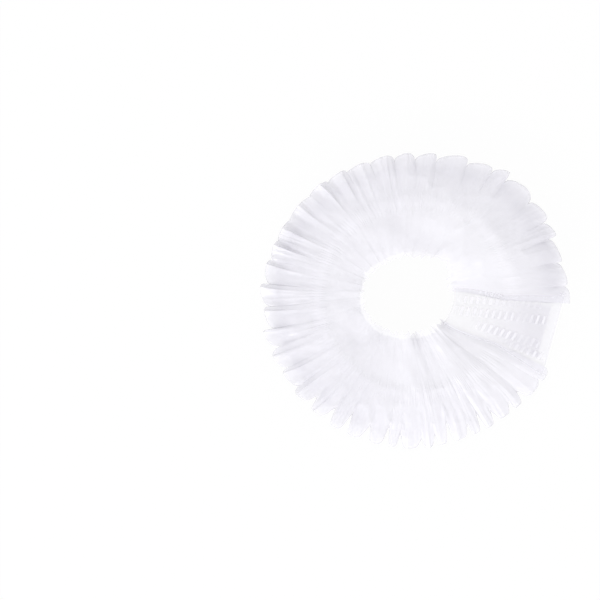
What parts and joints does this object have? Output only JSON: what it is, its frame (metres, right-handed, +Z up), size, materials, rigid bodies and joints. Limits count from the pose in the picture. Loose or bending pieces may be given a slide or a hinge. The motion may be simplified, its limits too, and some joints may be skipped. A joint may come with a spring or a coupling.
{
  "type": "shower cap",
  "caption": "Disposable shower cap of clear film, folded into plies, shirred on its elastics and curled into a flat pleated ring with lapped welded ends, as it comes out of its carton.",
  "frame": {"origin": "on the surface that the ring lies on, under the middle of its outline", "axes": "+Z up through the hole of the ring, +X towards the lapped welded ends, +Y across"},
  "size_m": [0.0846, 0.0808, 0.0154],
  "materials": {
    "clear_film": "thin clear polyethylene film, milky where many plies lie on each other",
    "elastic_rubber": "matt white rubber"
  },
  "bodies": {
    "root": {"bottom_hem_ply": "clear_film", "bottom_hem_turn": "clear_film", "crown_folds": "clear_film", "top_hem_turn": "clear_film", "top_hem_ply": "clear_film", "upper_end_weld": "clear_film", "lower_end_weld": "clear_film", "bottom_elastic": "elastic_rubber", "top_elastic": "elastic_rubber"}
  },
  "joints": []
}
